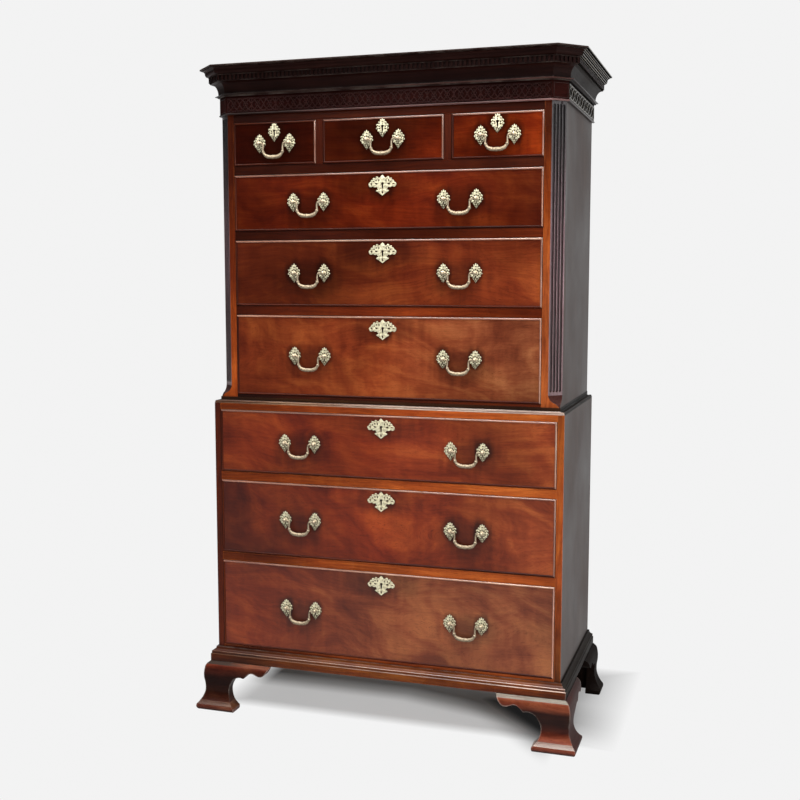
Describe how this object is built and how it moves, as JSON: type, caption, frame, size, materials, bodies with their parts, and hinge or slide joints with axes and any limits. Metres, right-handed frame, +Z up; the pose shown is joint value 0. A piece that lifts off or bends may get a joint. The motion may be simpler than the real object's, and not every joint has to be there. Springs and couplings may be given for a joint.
{
  "type": "chest on chest",
  "caption": "Tall stacked chest of drawers with canted fluted corners, a dentil cornice, cock-beaded drawers, brass bail handles and ogee bracket feet.",
  "frame": {"origin": "on the floor, midway between the outermost edges of the chest in X and in Y", "axes": "+Z up, -Y out of the drawer fronts, +X to the right of someone facing the drawers"},
  "size_m": [1.12, 0.542, 1.85],
  "materials": {
    "case_wood": "waxed red-brown mahogany",
    "dark_wood": "dark polished mahogany",
    "drawer_wood": "figured mahogany, polished",
    "lining_wood": "bare oak",
    "back_wood": "aged bare softwood",
    "brass": "old lacquered brass"
  },
  "bodies": {
    "case": {"lower_side_left": "case_wood", "lower_side_right": "case_wood", "lower_back": "back_wood", "lower_floor": "case_wood", "lower_divider_1": "case_wood", "lower_divider_2": "case_wood", "lower_top": "case_wood", "waist_moulding": "case_wood", "base_moulding": "case_wood", "front_foot_left": "dark_wood", "front_foot_right": "dark_wood", "rear_foot_left": "dark_wood", "rear_foot_right": "dark_wood", "upper_side_left": "case_wood", "upper_side_right": "case_wood", "upper_corner_left": "case_wood", "upper_corner_right": "case_wood", "upper_back": "back_wood", "upper_floor": "case_wood", "upper_divider_1": "case_wood", "upper_divider_2": "case_wood", "upper_divider_3": "case_wood", "partition_left": "case_wood", "partition_right": "case_wood", "upper_top": "case_wood", "frieze": "dark_wood", "cornice": "dark_wood"},
    "lower_drawer_1": {"lower_drawer_1_front": "drawer_wood", "lower_drawer_1_box": "lining_wood"},
    "lower_drawer_1_bail_left": {"lower_drawer_1_bail_left": "brass"},
    "lower_drawer_1_bail_right": {"lower_drawer_1_bail_right": "brass"},
    "lower_drawer_2": {"lower_drawer_2_front": "drawer_wood", "lower_drawer_2_box": "lining_wood"},
    "lower_drawer_2_bail_left": {"lower_drawer_2_bail_left": "brass"},
    "lower_drawer_2_bail_right": {"lower_drawer_2_bail_right": "brass"},
    "lower_drawer_3": {"lower_drawer_3_front": "drawer_wood", "lower_drawer_3_box": "lining_wood"},
    "lower_drawer_3_bail_left": {"lower_drawer_3_bail_left": "brass"},
    "lower_drawer_3_bail_right": {"lower_drawer_3_bail_right": "brass"},
    "upper_drawer_1": {"upper_drawer_1_front": "drawer_wood", "upper_drawer_1_box": "lining_wood"},
    "upper_drawer_1_bail_left": {"upper_drawer_1_bail_left": "brass"},
    "upper_drawer_1_bail_right": {"upper_drawer_1_bail_right": "brass"},
    "upper_drawer_2": {"upper_drawer_2_front": "drawer_wood", "upper_drawer_2_box": "lining_wood"},
    "upper_drawer_2_bail_left": {"upper_drawer_2_bail_left": "brass"},
    "upper_drawer_2_bail_right": {"upper_drawer_2_bail_right": "brass"},
    "upper_drawer_3": {"upper_drawer_3_front": "drawer_wood", "upper_drawer_3_box": "lining_wood"},
    "upper_drawer_3_bail_left": {"upper_drawer_3_bail_left": "brass"},
    "upper_drawer_3_bail_right": {"upper_drawer_3_bail_right": "brass"},
    "small_drawer_left": {"small_drawer_left_front": "drawer_wood", "small_drawer_left_box": "lining_wood"},
    "small_drawer_left_bail": {"small_drawer_left_bail": "brass"},
    "small_drawer_middle": {"small_drawer_middle_front": "drawer_wood", "small_drawer_middle_box": "lining_wood"},
    "small_drawer_middle_bail": {"small_drawer_middle_bail": "brass"},
    "small_drawer_right": {"small_drawer_right_front": "drawer_wood", "small_drawer_right_box": "lining_wood"},
    "small_drawer_right_bail": {"small_drawer_right_bail": "brass"}
  },
  "joints": [
    {"name": "lower_drawer_1_slide", "type": "slide", "parent": "case", "child": "lower_drawer_1", "axis": [0, -1, 0], "range_m": [0, 0.358]},
    {"name": "lower_drawer_1_bail_left_hinge", "type": "hinge", "parent": "lower_drawer_1", "child": "lower_drawer_1_bail_left", "pos_m": [-0.244, -0.2315, 0.316], "axis": [-1, 0, 0], "range_deg": [0, 160]},
    {"name": "lower_drawer_1_bail_right_hinge", "type": "hinge", "parent": "lower_drawer_1", "child": "lower_drawer_1_bail_right", "pos_m": [0.244, -0.2315, 0.316], "axis": [-1, 0, 0], "range_deg": [0, 160]},
    {"name": "lower_drawer_2_slide", "type": "slide", "parent": "case", "child": "lower_drawer_2", "axis": [0, -1, 0], "range_m": [0, 0.358]},
    {"name": "lower_drawer_2_bail_left_hinge", "type": "hinge", "parent": "lower_drawer_2", "child": "lower_drawer_2_bail_left", "pos_m": [-0.244, -0.2315, 0.575], "axis": [-1, 0, 0], "range_deg": [0, 160]},
    {"name": "lower_drawer_2_bail_right_hinge", "type": "hinge", "parent": "lower_drawer_2", "child": "lower_drawer_2_bail_right", "pos_m": [0.244, -0.2315, 0.575], "axis": [-1, 0, 0], "range_deg": [0, 160]},
    {"name": "lower_drawer_3_slide", "type": "slide", "parent": "case", "child": "lower_drawer_3", "axis": [0, -1, 0], "range_m": [0, 0.358]},
    {"name": "lower_drawer_3_bail_left_hinge", "type": "hinge", "parent": "lower_drawer_3", "child": "lower_drawer_3_bail_left", "pos_m": [-0.244, -0.2315, 0.797], "axis": [-1, 0, 0], "range_deg": [0, 160]},
    {"name": "lower_drawer_3_bail_right_hinge", "type": "hinge", "parent": "lower_drawer_3", "child": "lower_drawer_3_bail_right", "pos_m": [0.244, -0.2315, 0.797], "axis": [-1, 0, 0], "range_deg": [0, 160]},
    {"name": "upper_drawer_1_slide", "type": "slide", "parent": "case", "child": "upper_drawer_1", "axis": [0, -1, 0], "range_m": [0, 0.343]},
    {"name": "upper_drawer_1_bail_left_hinge", "type": "hinge", "parent": "upper_drawer_1", "child": "upper_drawer_1_bail_left", "pos_m": [-0.217, -0.2165, 1.045], "axis": [-1, 0, 0], "range_deg": [0, 160]},
    {"name": "upper_drawer_1_bail_right_hinge", "type": "hinge", "parent": "upper_drawer_1", "child": "upper_drawer_1_bail_right", "pos_m": [0.217, -0.2165, 1.045], "axis": [-1, 0, 0], "range_deg": [0, 160]},
    {"name": "upper_drawer_2_slide", "type": "slide", "parent": "case", "child": "upper_drawer_2", "axis": [0, -1, 0], "range_m": [0, 0.343]},
    {"name": "upper_drawer_2_bail_left_hinge", "type": "hinge", "parent": "upper_drawer_2", "child": "upper_drawer_2_bail_left", "pos_m": [-0.217, -0.2165, 1.277], "axis": [-1, 0, 0], "range_deg": [0, 160]},
    {"name": "upper_drawer_2_bail_right_hinge", "type": "hinge", "parent": "upper_drawer_2", "child": "upper_drawer_2_bail_right", "pos_m": [0.217, -0.2165, 1.277], "axis": [-1, 0, 0], "range_deg": [0, 160]},
    {"name": "upper_drawer_3_slide", "type": "slide", "parent": "case", "child": "upper_drawer_3", "axis": [0, -1, 0], "range_m": [0, 0.343]},
    {"name": "upper_drawer_3_bail_left_hinge", "type": "hinge", "parent": "upper_drawer_3", "child": "upper_drawer_3_bail_left", "pos_m": [-0.217, -0.2165, 1.473], "axis": [-1, 0, 0], "range_deg": [0, 160]},
    {"name": "upper_drawer_3_bail_right_hinge", "type": "hinge", "parent": "upper_drawer_3", "child": "upper_drawer_3_bail_right", "pos_m": [0.217, -0.2165, 1.473], "axis": [-1, 0, 0], "range_deg": [0, 160]},
    {"name": "small_drawer_left_slide", "type": "slide", "parent": "case", "child": "small_drawer_left", "axis": [0, -1, 0], "range_m": [0, 0.343]},
    {"name": "small_drawer_left_bail_hinge", "type": "hinge", "parent": "small_drawer_left", "child": "small_drawer_left_bail", "pos_m": [-0.3175, -0.2165, 1.6365], "axis": [-1, 0, 0], "range_deg": [0, 160]},
    {"name": "small_drawer_middle_slide", "type": "slide", "parent": "case", "child": "small_drawer_middle", "axis": [0, -1, 0], "range_m": [0, 0.343]},
    {"name": "small_drawer_middle_bail_hinge", "type": "hinge", "parent": "small_drawer_middle", "child": "small_drawer_middle_bail", "pos_m": [0, -0.2165, 1.6365], "axis": [-1, 0, 0], "range_deg": [0, 160]},
    {"name": "small_drawer_right_slide", "type": "slide", "parent": "case", "child": "small_drawer_right", "axis": [0, -1, 0], "range_m": [0, 0.343]},
    {"name": "small_drawer_right_bail_hinge", "type": "hinge", "parent": "small_drawer_right", "child": "small_drawer_right_bail", "pos_m": [0.3175, -0.2165, 1.6365], "axis": [-1, 0, 0], "range_deg": [0, 160]}
  ]
}
